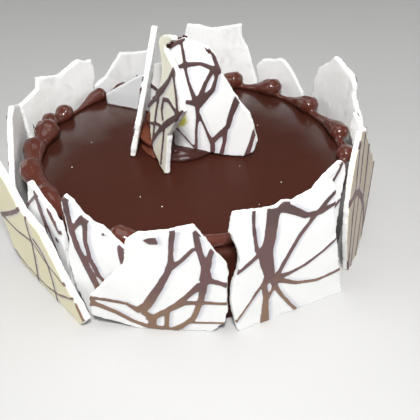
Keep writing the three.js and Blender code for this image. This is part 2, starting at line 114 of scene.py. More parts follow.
# Soft boxes: place, width, the setting of their power and their share of it
LIT_PLACE = (0, 0, 0.04)
SOFT_BOXES = {
    "key_box": ((0.01, -0.40, 0.52), 0.10, "key_power", 1),
    "top_box": ((0, 0.05, 1.0), 0.6, "top_power", 1),
    "left_box": ((-0.9, -0.25, 0.45), 0.5, "left_power", 1),
    "right_box": ((0.9, -0.25, 0.45), 0.5, "right_power", 1),
    "left_back_box": ((-0.8, 0.75, 0.4), 0.5, "back_power", 1),
    "right_back_box": ((0.8, 0.75, 0.4), 0.5, "back_power", 1),
    "left_sheen_box": ((-0.28, 1.2, 0.75), 0.35, "sheen_power", 1),
    "right_sheen_box": ((0.26, 1.2, 0.75), 0.35, "sheen_power", 0.5),
}

# How far each shard's white goes towards cream and past it to deep cream, a painted reflection of a
# gold board below with painted shade, and towards the duller white, painted shade over some own tone
TINTS = {
    "shard_front": (0.0, 0.28),
    "shard_front_right": (0.0, 0.28),
    "shard_front_left": (0.0, 0.28),
    "shard_right_front": (0.0, 0.25),
    "shard_left_inner": (0.0, 0.2),
    "shard_left_outer": (1.0, 0.0),
    "shard_right": (2.0, 0.0),
    "shard_left": (0.2, 0.0),
    "shard_back": (0.0, 0.1),
    "shard_back_left": (0.0, 0.35),
    "shard_back_right": (0.0, 0.3),
    "top_shard_front": (0.0, 0.22),
    "top_shard_back": (0.0, 0.8),
    "top_shard_middle": (0.7, 0.2),
}


# Settings

class CakeSizes(PropertyGroup):
    """Sizes of the finish that the pieces get"""
    coat_sides: IntProperty(
        name="Coat sides", description="Segments round the poured coat", default=128, min=32)
    coat_swell: FloatProperty(
        name="Coat swell", description="Height of the slow unevenness of the poured coat",
        default=0.5 * MM, unit="LENGTH")
    edge_round: FloatProperty(
        name="Edge round", description="Radius of the coat's top edge", default=4 * MM, unit="LENGTH")
    piping_grain: FloatProperty(
        name="Piping grain", description="Mesh size of the piped ganache", default=0.8 * MM,
        unit="LENGTH")
    piping_swell: FloatProperty(
        name="Piping swell", description="How far the piping swells to close its gaps",
        default=0.35 * MM, unit="LENGTH")
    shard_grain: FloatProperty(
        name="Shard grain", description="Mesh size of the chocolate shards", default=0.7 * MM,
        unit="LENGTH")
    drizzle_height: FloatProperty(
        name="Drizzle height", description="How far the drizzle stands out of a shard",
        default=0.4 * MM, unit="LENGTH")
    fork_fill: FloatProperty(
        name="Fork fill", description="Radius to which the forks of the drizzle fill up",
        default=0.6 * MM, unit="LENGTH")
    edge_break: FloatProperty(
        name="Edge break", description="Slow unevenness of the shards' broken edges",
        default=1.2 * MM, unit="LENGTH")
    edge_crumble: FloatProperty(
        name="Edge crumble", description="Fine unevenness of the shards' broken edges",
        default=0.5 * MM, unit="LENGTH")
    spread_depth: FloatProperty(
        name="Spread depth", description="Unevenness of the shards' spread inner face",
        default=0.7 * MM, unit="LENGTH")


def colour(name, description, default):
    """A colour setting"""
    return FloatVectorProperty(
        name=name, description=description, default=default, subtype="COLOR", size=3, min=0, max=1)


class CakeColours(PropertyGroup):
    """Colours of the finishes"""
    ganache: colour("Ganache", "Poured dark coat", (0.048, 0.0133, 0.0080))
    ganache_light: colour("Ganache light", "Paler clouds in the coat", (0.058, 0.0175, 0.0114))
    piping: colour("Piping", "Piped ganache", (0.080, 0.0190, 0.0112))
    piping_light: colour("Piping light", "Paler streaks in the piping", (0.104, 0.027, 0.0165))
    # The swirl's own colour is darkened as painted shade under the top shards; its lighter colour is
    # painted light on the swirl's left
    swirl: colour("Swirl", "Swirl under the top shards", (0.046, 0.0145, 0.012))
    swirl_painted_light: colour("Swirl light", "Warm crests of the swirl", (0.21, 0.066, 0.038))
    white: colour("White chocolate", "Shards", (0.93, 0.93, 0.915))
    white_shade: colour("White chocolate shade", "Duller patches of the shards", (0.87, 0.87, 0.85))
    # Dull white darkens whole shards: partly their own tone, partly painted shade for how light falls
    # on each
    dull_and_shade: colour("Dull white", "Duller shards", (0.60, 0.61, 0.62))
    # Halo: painted blue-grey shade beside the drizzle lines, with a painted shadow trailing to one side
    painted_line_shadow: colour("Halo", "White next to the drizzle", (0.42, 0.43, 0.50))
    # Cream and deep cream paint the yellow reflection of a gold board below the shards, with painted
    # shade; deep cream, the darkest, is painted shade on the face at the right seen at a steep angle
    gold_reflection_shade: colour("Cream", "Yellower shards", (0.73, 0.685, 0.46))
    deep_gold_reflection_shade: colour("Deep cream", "Darkest shard, at the right", (0.44, 0.375, 0.285))
    # A yellow-green spot on the front top shard
    yellow_spot: colour("Stain", "Stain on the front top shard", (0.46, 0.43, 0.06))
    drizzle: colour("Drizzle", "Dark lines on the shards", (0.120, 0.058, 0.057))
    # Painted reflection of a gold board, lightening the drizzle near the foot of the front shards
    drizzle_gold_reflection: colour("Drizzle light", "Lines near the foot of the front", (0.215, 0.125, 0.075))
    drizzle_dark: colour("Drizzle dark", "Lines on the top shards", (0.082, 0.043, 0.042))
    ghost: colour("Ghost marks", "Lines that show through the inner face", (0.66, 0.66, 0.65))
    floor: colour("Floor", "Plain floor", (0.53, 0.526, 0.518))


class CakeStage(PropertyGroup):
    """Camera and light"""
    distance: FloatProperty(
        name="Distance", description="Camera's distance from the middle of the base",
        default=0.4125, unit="LENGTH")
    elevation: FloatProperty(
        name="Elevation", description="Camera's height above the horizon",
        default=math.radians(37.54), subtype="ANGLE")
    aim_right: FloatProperty(
        name="Aim right", description="Turn of the view to the right of the middle",
        default=math.radians(1.71), subtype="ANGLE")
    aim_up: FloatProperty(
        name="Aim up", description="Turn of the view above the middle",
        default=math.radians(0.10), subtype="ANGLE")
    roll: FloatProperty(
        name="Roll", description="Turn of the picture about the view", default=math.radians(-1.77),
        subtype="ANGLE")
    lens: FloatProperty(
        name="Lens", description="Focal length in millimetres", default=53.14)
    key_power: FloatProperty(
        name="Key power", description="Soft box by the camera", default=4.2, unit="POWER")
    top_power: FloatProperty(
        name="Top power", description="Wide soft box overhead", default=2.0, unit="POWER")
    left_power: FloatProperty(
        name="Left power", description="Soft box at the left", default=3.1, unit="POWER")
    right_power: FloatProperty(
        name="Right power", description="Soft box at the right", default=2.3, unit="POWER")
    back_power: FloatProperty(
        name="Back power", description="Soft boxes at both sides behind", default=1.2, unit="POWER")
    sheen_power: FloatProperty(
        name="Sheen power", description="Soft box that the coat mirrors at the back left",
        default=0.4, unit="POWER")
    sky: FloatProperty(name="Sky", description="Brightness of the light from all round", default=0.13)


# Handling of objects

def take_hold(piece):
    """Makes a piece the only selected and the active object"""
    if bpy.context.mode != "OBJECT":
        bpy.ops.object.mode_set(mode="OBJECT")
    bpy.ops.object.select_all(action="DESELECT")
    piece.select_set(True)
    bpy.context.view_layer.objects.active = piece


def apply_modifier(piece, kind, **settings):
    """Adds a modifier to the held piece and applies it"""
    modifier = piece.modifiers.new(kind, kind)
    for name, value in settings.items():
        setattr(modifier, name, value)
    bpy.ops.object.modifier_apply(modifier=modifier.name)


def clouds(name, size):
    """A soft noise for the displace modifier"""
    texture = bpy.data.textures.new(name, "CLOUDS")
    texture.noise_scale = size
    texture.noise_depth = 2
    return texture


def ruffle(piece, size, height, direction="NORMAL", group=""):
    """Displaces the held piece by a soft noise of a given patch size and total height"""
    apply_modifier(
        piece, "DISPLACE", texture=clouds(piece.name, size), texture_coords="LOCAL",
        strength=height, mid_level=0.5, direction=direction, vertex_group=group)


def swell(piece, height, direction="NORMAL", group=""):
    """Moves the held piece's surface out by a height"""
    apply_modifier(
        piece, "DISPLACE", strength=height, mid_level=0, direction=direction, vertex_group=group)


def copy_of_node(node, name):
    """A new piece with the merged mesh of a node, held"""
    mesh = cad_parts[node].data.copy()
    mesh.materials.clear()
    piece = bpy.data.objects.new(name, mesh)
    bpy.context.collection.objects.link(piece)
    take_hold(piece)
    bpy.ops.object.mode_set(mode="EDIT")
    bpy.ops.mesh.select_all(action="SELECT")
    bpy.ops.mesh.remove_doubles(threshold=0.01 * MM)
    bpy.ops.object.mode_set(mode="OBJECT")
    bpy.ops.mesh.customdata_custom_splitnormals_clear()
    return piece


def join(pieces, name):
    """Joins pieces to one held piece, with its place in its mesh"""
    take_hold(pieces[0])
    for piece in pieces:
        piece.select_set(True)
    bpy.ops.object.join()
    pieces[0].name = name
    bpy.ops.object.transform_apply(location=True, rotation=True, scale=True)
    return pieces[0]


def seat(piece, material, nodes):
    """Finishes a piece: its material, the body it rides on and the nodes it stands for"""
    piece.data.materials.clear()
    piece.data.materials.append(material)
    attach(piece, "root")
    if nodes:
        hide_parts(*nodes)


# Materials

def add_node(tree, kind, sockets, **settings):
    """A shader node with its settings; its inputs are values, or sockets to link from"""
    node = tree.nodes.new(kind)
    for name, value in settings.items():
        setattr(node, name, value)
    for key, value in sockets.items():
        if isinstance(value, bpy.types.NodeSocket):
            tree.links.new(value, node.inputs[key])
        else:
            node.inputs[key].default_value = value
    return node


def noise(tree, coords, size, distortion=0.0):
    """A soft noise from 0 to 1 with patches of a given size in metres"""
    node = add_node(tree, "ShaderNodeTexNoise", {
        "Vector": coords, "Scale": 1 / size, "Detail": 3.0, "Roughness": 0.5, "Distortion": distortion})
    return node.outputs["Fac"]


def ramp(tree, value, low, high, start=0.0, end=1.0):
    """A smooth step from start at low to end at high"""
    node = add_node(tree, "ShaderNodeMapRange", {
        "Value": value, "From Min": low, "From Max": high, "To Min": start, "To Max": end},
        interpolation_type="SMOOTHSTEP")
    return node.outputs["Result"]


def maths(tree, operation, first, second):
    """A sum, product or other of two values"""
    return add_node(tree, "ShaderNodeMath", {0: first, 1: second}, operation=operation).outputs[0]


def blend(tree, share, first, second):
    """A mix of two colours"""
    first, second = (
        c if isinstance(c, bpy.types.NodeSocket) else (*c, 1) for c in (first, second))
    node = add_node(tree, "ShaderNodeMix", {0: share, 6: first, 7: second}, data_type="RGBA")
    return node.outputs[2]


def bump(tree, height, distance, strength):
    """A bump of a height map of a given depth in metres"""
    sockets = {"Height": height, "Distance": distance, "Strength": strength}
    return add_node(tree, "ShaderNodeBump", sockets).outputs["Normal"]


def new_material(name):
    """A new node material, with its tree, its shader and its object coordinates"""
    material = bpy.data.materials.new(name)
    material.use_nodes = True
    tree = material.node_tree
    shader = tree.nodes["Principled BSDF"]
    coords = add_node(tree, "ShaderNodeTexCoord", {}).outputs["Object"]
    return material, tree, shader, coords


def wire(tree, shader, **sources):
    """Links sockets to the shader's inputs, named with underscores for spaces"""
    for name, source in sources.items():
        tree.links.new(source, shader.inputs[name.replace("_", " ")])


def polish(shader, **levels):
    """Sets constant inputs of the shader, named with underscores for spaces"""
    for name, level in levels.items():
        shader.inputs[name.replace("_", " ")].default_value = level


def ganache_material(colours):
    """Poured ganache: dull in front, glossy towards the back, with slow pale clouds and dimples"""
    material, tree, shader, coords = new_material("poured_ganache")
    patches = noise(tree, coords, 40 * MM)
    dimples = noise(tree, coords, 5 * MM)
    level = add_node(tree, "ShaderNodeVectorMath", {0: coords, 1: (1, 1, 0)}, operation="MULTIPLY")
    reach = add_node(
        tree, "ShaderNodeVectorMath", {0: level.outputs[0], 1: (0, -35 * MM, 0)}, operation="DISTANCE")
    uneven = maths(tree, "SUBTRACT", noise(tree, coords, 25 * MM), 0.5)
    uneven = maths(tree, "MULTIPLY", uneven, 30 * MM)
    reach = maths(tree, "ADD", reach.outputs["Value"], uneven)
    wire(
        tree, shader,
        Base_Color=blend(tree, patches, colours.ganache, colours.ganache_light),
        Roughness=ramp(tree, patches, 0.3, 0.7, 0.32, 0.42),
        Coat_Weight=ramp(tree, reach, 72 * MM, 112 * MM),
        Normal=bump(tree, dimples, 0.1 * MM, 0.25))
    polish(shader, Specular_IOR_Level=0.06, Coat_Roughness=0.2, Coat_IOR=1.6)
    return material


def piping_material(colours):
    """Piped ganache: a little paler and glossier, with faint streaks"""
    material, tree, shader, coords = new_material("piped_ganache")
    streaks = noise(tree, coords, 6 * MM, distortion=1.0)
    wire(
        tree, shader,
        Base_Color=blend(tree, streaks, colours.piping, colours.piping_light),
        Roughness=ramp(tree, noise(tree, coords, 9 * MM), 0.3, 0.7, 0.22, 0.34),
        Normal=bump(tree, noise(tree, coords, 2.5 * MM), 0.2 * MM, 0.3))
    polish(shader, Specular_IOR_Level=0.1, Coat_Weight=0.65, Coat_Roughness=0.22, Coat_IOR=1.65)
    return material


def swirl_material(colours):
    """Swirled ganache: painted light at the left and painted shade in front, less glossy than the
    border
    """
    material, tree, shader, coords = new_material("swirled_ganache")
    folds = maths(tree, "SUBTRACT", noise(tree, coords, 14 * MM, distortion=1.5), 0.5)
    # Painted light towards the swirl's left, painted shade towards its right and front, by a ramp
    # across x
    across = add_node(tree, "ShaderNodeSeparateXYZ", {"Vector": coords}).outputs["X"]
    across = maths(tree, "ADD", across, maths(tree, "MULTIPLY", folds, 16 * MM))
    wire(
        tree, shader,
        Base_Color=blend(
            tree, ramp(tree, across, -28 * MM, -12 * MM, 1, 0), colours.swirl, colours.swirl_painted_light),
        Roughness=ramp(tree, noise(tree, coords, 9 * MM), 0.3, 0.7, 0.22, 0.34),
        Normal=bump(tree, noise(tree, coords, 3 * MM), 0.3 * MM, 0.3))
    polish(shader, Specular_IOR_Level=0.14)
    return material


def shard_material(colours):
    """White chocolate with dark drizzle on its outer face and faint marks showing through inside"""
    material, tree, shader, coords = new_material("drizzled_white_chocolate")

    def measure(name):
        return add_node(tree, "ShaderNodeAttribute", {}, attribute_name=name).outputs["Fac"]

    depth = measure("depth")
    wobble = maths(tree, "SUBTRACT", noise(tree, coords, 5 * MM), 0.5)
    crumbs = maths(tree, "SUBTRACT", noise(tree, coords, 1.2 * MM), 0.5)
    edge = maths(tree, "ADD", measure("drizzle"), maths(tree, "MULTIPLY", wobble, 0.8))
    edge = maths(tree, "ADD", edge, maths(tree, "MULTIPLY", crumbs, 0.2))
    line = ramp(tree, edge, -0.12, 0.16)
    skin = maths(tree, "ADD", depth, maths(tree, "MULTIPLY", wobble, 0.2))
    skin = ramp(tree, skin, 0.12, 0.26, 1, 0)
    dark = maths(tree, "MULTIPLY", line, skin)

    patches = noise(tree, coords, 18 * MM)
    white = blend(tree, ramp(tree, patches, 0.4, 0.75), colours.white, colours.white_shade)
    # Painted reflection of a gold board and painted shade on the outer face of some shards, past cream
    # to deep cream
    gold_reflection_shade = maths(tree, "MULTIPLY", measure("gold_reflection_shade"), ramp(tree, depth, 0.02, 0.16, 1, 0))
    white = blend(tree, gold_reflection_shade, white, colours.gold_reflection_shade)
    white = blend(tree, maths(tree, "SUBTRACT", gold_reflection_shade, 1), white, colours.deep_gold_reflection_shade)
    # Painted shade over some own tone: each shard's share of the dull white
    white = blend(tree, measure("dull_and_shade"), white, colours.dull_and_shade)
    # Painted shade beside the drizzle lines and a painted shadow trailing to one side of them, on the
    # outer face
    shadow_trail = maths(tree, "ADD", measure("shadow_trail"), wobble)
    faded = ramp(tree, patches, 0.3, 0.6, 0.25, 0.7)
    shadow_trail = maths(tree, "MULTIPLY", ramp(tree, shadow_trail, -1.7, 1.2), faded)
    painted_line_shadow = maths(tree, "MAXIMUM", shadow_trail, ramp(tree, edge, -1.2, 0, 0, 0.25))
    white = blend(tree, maths(tree, "MULTIPLY", painted_line_shadow, skin), white, colours.painted_line_shadow)
    inner = ramp(tree, depth, 0.7, 0.9)
    ghost = maths(tree, "MULTIPLY", ramp(tree, edge, -1.5, 1.0, 0, 0.5), inner)
    ghost = maths(tree, "MULTIPLY", ghost, ramp(tree, noise(tree, coords, 12 * MM), 0.45, 0.7))
    white = blend(tree, ghost, white, colours.ghost)
    # A yellow-green spot on the front top shard
    blot = maths(tree, "ADD", measure("yellow_spot"), maths(tree, "MULTIPLY", wobble, 0.6))
    white = blend(tree, ramp(tree, blot, 0.3, 0.7), white, colours.yellow_spot)
    split = add_node(tree, "ShaderNodeSeparateXYZ", {"Vector": coords})
    # Painted reflection of a gold board lightens the lines low down and at the front; the lines darken
    # above 58 mm
    height = maths(tree, "ADD", split.outputs["Z"], maths(tree, "MULTIPLY", wobble, 24 * MM))
    away = ramp(tree, split.outputs["Y"], -92 * MM, -78 * MM)
    brown = maths(tree, "MAXIMUM", ramp(tree, height, 12 * MM, 36 * MM), away)
    brown = blend(tree, brown, colours.drizzle_gold_reflection, colours.drizzle)
    brown = blend(tree, ramp(tree, height, 58 * MM, 72 * MM), brown, colours.drizzle_dark)

    stretched = add_node(tree, "ShaderNodeMapping", {"Vector": coords, "Scale": (1, 1, 0.3)})
    spread = noise(tree, stretched.outputs["Vector"], 4 * MM, distortion=0.5)
    spread = maths(tree, "MULTIPLY", spread, maths(tree, "ADD", inner, 0.15))
    wire(
        tree, shader,
        Base_Color=blend(tree, dark, white, brown),
        Roughness=ramp(tree, patches, 0.3, 0.7, 0.34, 0.5),
        Normal=bump(tree, spread, 0.5 * MM, 0.5))
    return material


def floor_material(colours):
    """Plain pale floor with the faintest mottle"""
    material, tree, shader, coords = new_material("pale_floor")
    mottle = noise(tree, coords, 0.08)
    paler = [min(1, 1.03 * c) for c in colours.floor]
    wire(tree, shader, Base_Color=blend(tree, mottle, colours.floor, paler))
    polish(shader, Roughness=0.7)
    return material


# Poured coat

class CAKE_OT_pour_coat(Operator):
    """Models the coated cake as one round, softly uneven solid"""
    bl_idname = "cake.pour_coat"
    bl_label = "Pour Coat"

    def execute(self, context):
        sizes = context.scene.cake_sizes
        low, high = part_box("cake_body")
        radius = (high.x - low.x) / 2
        height = high.z - low.z
        take_hold(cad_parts["cake_body"])
        bpy.ops.object.select_all(action="DESELECT")
        bpy.ops.mesh.primitive_cylinder_add(
            vertices=sizes.coat_sides, radius=radius, depth=height, location=(0, 0, height / 2))
        piece = context.active_object
        piece.name = "ganache_coat"
        bpy.ops.object.transform_apply(location=True, rotation=True, scale=True)
        self.round_edges(piece, height, sizes.edge_round)
        self.ring_faces(piece, height, radius)
        apply_modifier(piece, "SUBSURF", levels=2, render_levels=2)
        ruffle(piece, COAT_PATCH, sizes.coat_swell)
        self.flatten_base(piece)
        bpy.ops.object.shade_smooth()
        seat(piece, ganache_material(context.scene.cake_colours), ["cake_body"])
        return {"FINISHED"}

    @staticmethod
    def round_edges(piece, height, edge_round):
        """Bevels the top rim to a round and the bottom rim to a small chamfer"""
        for level, width, steps in ((height, edge_round, 5), (0, 1 * MM, 2)):
            bpy.ops.object.mode_set(mode="OBJECT")
            for edge in piece.data.edges:
                heights = [piece.data.vertices[i].co.z for i in edge.vertices]
                edge.select = all(abs(z - level) < 0.01 * MM for z in heights)
            for face in piece.data.polygons:
                face.select = False
            bpy.context.tool_settings.mesh_select_mode = (False, True, False)
            bpy.ops.object.mode_set(mode="EDIT")
            bpy.ops.mesh.bevel(offset=width, segments=steps, affect="EDGES")
        bpy.ops.object.mode_set(mode="OBJECT")

    @staticmethod
    def ring_faces(piece, height, radius):
        """Insets the two round faces to rings, and cuts the side into bands"""
        bpy.context.tool_settings.mesh_select_mode = (False, False, True)
        for level in (0, height):
            for face in piece.data.polygons:
                face.select = face.area > radius * radius and abs(face.center.z - level) < 0.1 * MM
            bpy.ops.object.mode_set(mode="EDIT")
            for _ in range(COAT_RINGS):
                bpy.ops.mesh.inset(thickness=0.9 * radius / COAT_RINGS)
            bpy.ops.mesh.poke()
            bpy.ops.object.mode_set(mode="OBJECT")
        for share in SIDE_CUTS:
            bpy.ops.object.mode_set(mode="EDIT")
            bpy.ops.mesh.select_all(action="SELECT")
            bpy.ops.mesh.bisect(plane_co=(0, 0, share * height), plane_no=(0, 0, 1))
            bpy.ops.object.mode_set(mode="OBJECT")

    @staticmethod
    def flatten_base(piece):
        """Sets the underside back on the floor"""
        for vertex in piece.data.vertices:
            if vertex.co.z < 0.6 * MM:
                vertex.co.z = max(vertex.co.z, 0)


# Piping

def soften(piece, grain, swell_height, rounds):
    """Fuses the held piece's parts into one smooth skin of a given mesh size"""
    swell(piece, swell_height)
    apply_modifier(piece, "REMESH", mode="VOXEL", voxel_size=grain)
    apply_modifier(piece, "SMOOTH", factor=0.5, iterations=rounds)
    bpy.ops.object.shade_smooth()


class CAKE_OT_pipe_border(Operator):
    """Fuses the border's beads into one piped strand"""
    bl_idname = "cake.pipe_border"
    bl_label = "Pipe Border"

    def execute(self, context):
        sizes = context.scene.cake_sizes
        beads = [copy_of_node(node, "piped_border") for node in BEADS]
        piece = join(beads, "piped_border")
        soften(piece, sizes.piping_grain, sizes.piping_swell, BORDER_ROUNDS)
        seat(piece, piping_material(context.scene.cake_colours), BEADS)
        return {"FINISHED"}


class CAKE_OT_pipe_rosette(Operator):
    """Models the swirl in the middle of the top"""
    bl_idname = "cake.pipe_rosette"
    bl_label = "Pipe Rosette"

    def execute(self, context):
        sizes = context.scene.cake_sizes
        piece = copy_of_node("rosette", "piped_rosette")
        soften(piece, sizes.piping_grain, sizes.piping_swell, ROSETTE_ROUNDS)
        seat(piece, swirl_material(context.scene.cake_colours), ["rosette"])
        return {"FINISHED"}


# Chocolate shards

def vertex_places(mesh):
    """The mesh's vertices as an array"""
    places = np.zeros(3 * len(mesh.vertices))
    mesh.vertices.foreach_get("co", places)
    return places.reshape(-1, 3)


def facing(mesh, direction):
    """The faces that point along a direction"""
    return [face for face in mesh.polygons if face.normal.dot(direction) > 0.999]


class ShardPlane:
    """A shard's own plane: x across, y up, z out of its drizzled face, whose plate is at z 0"""

    def __init__(self, mesh):
        widest = max(
            sorted(mesh.polygons, key=lambda face: -face.area)[:12],
            key=lambda face: sum(like.area for like in facing(mesh, face.normal))).normal.copy()
        self.outward = max((widest, -widest), key=lambda side: len(facing(mesh, side)))
        inner_faces = facing(mesh, -self.outward)
        deepest = min(face.center.dot(self.outward) for face in inner_faces)
        self.inner_faces = [
            face for face in inner_faces if face.center.dot(self.outward) < deepest + 0.1 * MM]
        outer_faces = facing(mesh, self.outward)
        levels = [face.center.dot(self.outward) for face in outer_faces]
        plate = min(levels)
        self.thickness = plate - deepest
        across = Vector((-self.outward.y, self.outward.x, 0)).normalized()
        up = self.outward.cross(across)
        turn = Matrix((across, up, self.outward)).transposed().to_4x4()
        self.matrix = Matrix.Translation(self.outward * plate) @ turn
        places = vertex_places(mesh) @ np.array([across, up]).T
        raised = [face for face, level in zip(outer_faces, levels) if level > plate + 0.2 * MM]
        self.line_faces = np.array([[places[i] for i in face.vertices] for face in raised])
        self.outline = self.free_edges(self.inner_faces, places)
        line_edges = self.free_edges(raised, places)
        self.line_edges = line_edges[distance_to(line_edges.mean(axis=1), self.outline) > 0.02 * MM]

    @staticmethod
    def free_edges(faces, places):
        """The edges that only one of the faces has"""
        count = {}
        for face in faces:
            for key in face.edge_keys:
                count[key] = count.get(key, 0) + 1
        return np.array([[places[i] for i in key] for key, uses in count.items() if uses == 1])


def distance_to(points, edges):
    """The distance of each point from the nearest of the edges"""
    nearest = np.full(len(points), np.inf)
    for start, end in edges:
        along = end - start
        share = np.clip((points - start) @ along / max(along @ along, 1e-18), 0, 1)
        gap = np.hypot(*(points - start - share[:, None] * along).T)
        nearest = np.minimum(nearest, gap)
    return nearest


def within(points, triangles):
    """Whether each point lies in one of the triangles"""
    found = np.zeros(len(points), bool)
    for corners in triangles:
        sides = []
        for here, there in zip(corners, np.roll(corners, -1, axis=0)):
            along = there - here
            sides.append(along[0] * (points[:, 1] - here[1]) - along[1] * (points[:, 0] - here[0]))
        found |= np.all(np.array(sides) >= 0, axis=0) | np.all(np.array(sides) <= 0, axis=0)
    return found


def largest_near(values, reach):
    """The largest value within a round reach of each cell of a grid"""
    largest = values
    for across in range(-reach, reach + 1):
        span = int(math.sqrt(reach * reach - across * across))
        for up in range(-span, span + 1):
            largest = np.maximum(largest, np.roll(values, (across, up), axis=(0, 1)))
    return largest


class DrizzleMap:
    """How far each cell of a grid over a shard lies inside its drizzle, with the lines' forks filled"""
    cell = 0.5 * MM
    margin = 5 * MM

    def __init__(self, plane, fill):
        self.low = plane.outline.min(axis=(0, 1)) - self.margin
        high = plane.outline.max(axis=(0, 1)) + self.margin
        columns, rows = np.ceil((high - self.low) / self.cell).astype(int) + 1
        steps = np.stack(np.meshgrid(np.arange(columns), np.arange(rows), indexing="ij"), axis=-1)
        points = self.low + self.cell * steps.reshape(-1, 2)
        gap = distance_to(points, plane.line_edges)
        inside = np.where(within(points, plane.line_faces), gap, -gap).reshape(columns, rows)
        reach = round(fill / self.cell)
        filled = -largest_near(-largest_near(inside, reach), reach)
        for axis in (0, 1):
            filled = (np.roll(filled, 1, axis) + 2 * filled + np.roll(filled, -1, axis)) / 4
        self.inside = filled

    def at(self, points):
        """The value at points between the cells"""
        places = (points - self.low) / self.cell
        corners = np.clip(np.floor(places).astype(int), 0, np.array(self.inside.shape) - 2)
        (i, j), (s, t) = corners.T, (places - corners).T
        near = self.inside[i, j] * (1 - s) + self.inside[i + 1, j] * s
        far = self.inside[i, j + 1] * (1 - s) + self.inside[i + 1, j + 1] * s
        return near * (1 - t) + far * t


def smooth_step(values, low, high):
    """0 at low, 1 at high, and smooth between"""
    share = np.clip((values - low) / (high - low), 0, 1)
    return share * share * (3 - 2 * share)


def store(piece, name, values):
    """Keeps a value for each vertex as an attribute"""
    layer = piece.data.attributes.new(name, "FLOAT", "POINT")
    layer.data.foreach_set("value", values.astype(np.float32))


def weigh(piece, name, weights, steps=25):
    """Keeps a weight for each vertex in a vertex group, in a few steps"""
    group = piece.vertex_groups.new(name=name)
    levels = np.round(weights * steps).astype(int)
    for level in range(1, steps + 1):
        group.add(np.nonzero(levels == level)[0].tolist(), level / steps, "REPLACE")


def cut_plate(piece, plane):
    """Reduces the held copy to its unbroken inner face and draws it out to the plate's thickness"""
    inner = {face.index for face in plane.inner_faces}
    bpy.context.tool_settings.mesh_select_mode = (False, False, True)
    for face in piece.data.polygons:
        face.select = face.index not in inner
    bpy.ops.object.mode_set(mode="EDIT")
    bpy.ops.mesh.delete(type="FACE")
    bpy.ops.mesh.select_all(action="SELECT")
    bpy.ops.mesh.dissolve_limited()
    bpy.ops.mesh.extrude_region_move(
        TRANSFORM_OT_translate={"value": plane.outward * plane.thickness})
    bpy.ops.mesh.select_all(action="SELECT")
    bpy.ops.mesh.normals_make_consistent(inside=False)
    bpy.ops.object.mode_set(mode="OBJECT")


def measure_drizzle(piece, plane, fill):
    """Stores how far each vertex is inside a line and inside the painted shadow trailing to one side of
    it, how deep and how near the rim
    """
    places = vertex_places(piece.data)
    normals = np.array([vertex.normal[:2] for vertex in piece.data.vertices])
    drizzle = DrizzleMap(plane, fill)
    inset = places[:, :2] - 0.7 * MM * normals
    lines = drizzle.at(inset) / MM
    # The painted shadow of the lines, trailing 1.5 mm to one side
    shadow_trail = drizzle.at(inset - np.array([1.5 * MM, 0])) / MM
    depth = np.clip(-places[:, 2] / plane.thickness, 0, 1)
    rim = distance_to(places[:, :2], plane.outline) / MM
    store(piece, "drizzle", np.clip(lines, -FAR_FROM_DRIZZLE, FAR_FROM_DRIZZLE))
    store(piece, "shadow_trail", np.clip(shadow_trail, -FAR_FROM_DRIZZLE, FAR_FROM_DRIZZLE))
    store(piece, "depth", depth)
    weigh(piece, "raised", smooth_step(lines, -0.4, 0.5) * smooth_step(-depth, -0.2, -0.02))
    weigh(piece, "rim", 1 - smooth_step(rim, 0.5, 3))
    weigh(piece, "spread", smooth_step(depth, 0.5, 0.9))


def spot_share(node, places, matrix):
    """How near each vertex lies to the middle of the yellow-green spot, from 0 to 1"""
    if node != SPOTTED:
        return np.zeros(len(places))
    middle = matrix.inverted() @ (MM * Vector(SPOT_PLACE))
    return np.clip(1 - np.linalg.norm(places - middle, axis=1) / (SPOT_RADIUS * MM), 0, 1)


def rest_on_floor(piece):
    """Lifts whatever a ruffled piece has below the floor back onto it"""
    places = vertex_places(piece.data)
    places[:, 2] = np.maximum(places[:, 2], 0)
    piece.data.vertices.foreach_set("co", places.ravel())
    piece.data.update()


def break_shard(node, sizes):
    """One shard: a plate with raised drizzle, crumbled edges and a spread inner face"""
    piece = copy_of_node(node, node + "_piece")
    plane = ShardPlane(piece.data)
    cut_plate(piece, plane)
    piece.data.transform(plane.matrix.inverted())
    apply_modifier(piece, "REMESH", mode="VOXEL", voxel_size=sizes.shard_grain)
    apply_modifier(piece, "SMOOTH", factor=0.5, iterations=2)
    measure_drizzle(piece, plane, sizes.fork_fill)
    for name, share in zip(("gold_reflection_shade", "dull_and_shade"), TINTS.get(node, (0.0, 0.0))):
        store(piece, name, np.full(len(piece.data.vertices), share))
    store(piece, "yellow_spot", spot_share(node, vertex_places(piece.data), plane.matrix))
    swell(piece, sizes.drizzle_height, "Z", "raised")
    ruffle(piece, BREAK_PATCH, sizes.edge_break, "NORMAL", "rim")
    ruffle(piece, CRUMBLE_PATCH, sizes.edge_crumble, "NORMAL", "rim")
    ruffle(piece, SPREAD_PATCH, sizes.spread_depth, "Z", "spread")
    ruffle(piece, WARP_PATCH, sizes.spread_depth, "Z")
    piece.vertex_groups.clear()
    piece.data.transform(plane.matrix)
    rest_on_floor(piece)
    bpy.ops.object.shade_smooth()
    return piece


class CAKE_OT_stand_side_shards(Operator):
    """Models the chocolate shards that stand round the side"""
    bl_idname = "cake.stand_side_shards"
    bl_label = "Stand Side Shards"

    def execute(self, context):
        material = shard_material(context.scene.cake_colours)
        for node in SIDE_SHARDS:
            piece = break_shard(node, context.scene.cake_sizes)
            seat(piece, material, [node])
        return {"FINISHED"}


class CAKE_OT_stand_top_shards(Operator):
    """Models the chocolate shards that stand in the rosette"""
    bl_idname = "cake.stand_top_shards"
    bl_label = "Stand Top Shards"

    def execute(self, context):
        material = bpy.data.materials["drizzled_white_chocolate"]
        for node in TOP_SHARDS:
            piece = break_shard(node, context.scene.cake_sizes)
            seat(piece, material, [node])
        return {"FINISHED"}


# Crumbs, flecks and drawn-out tips

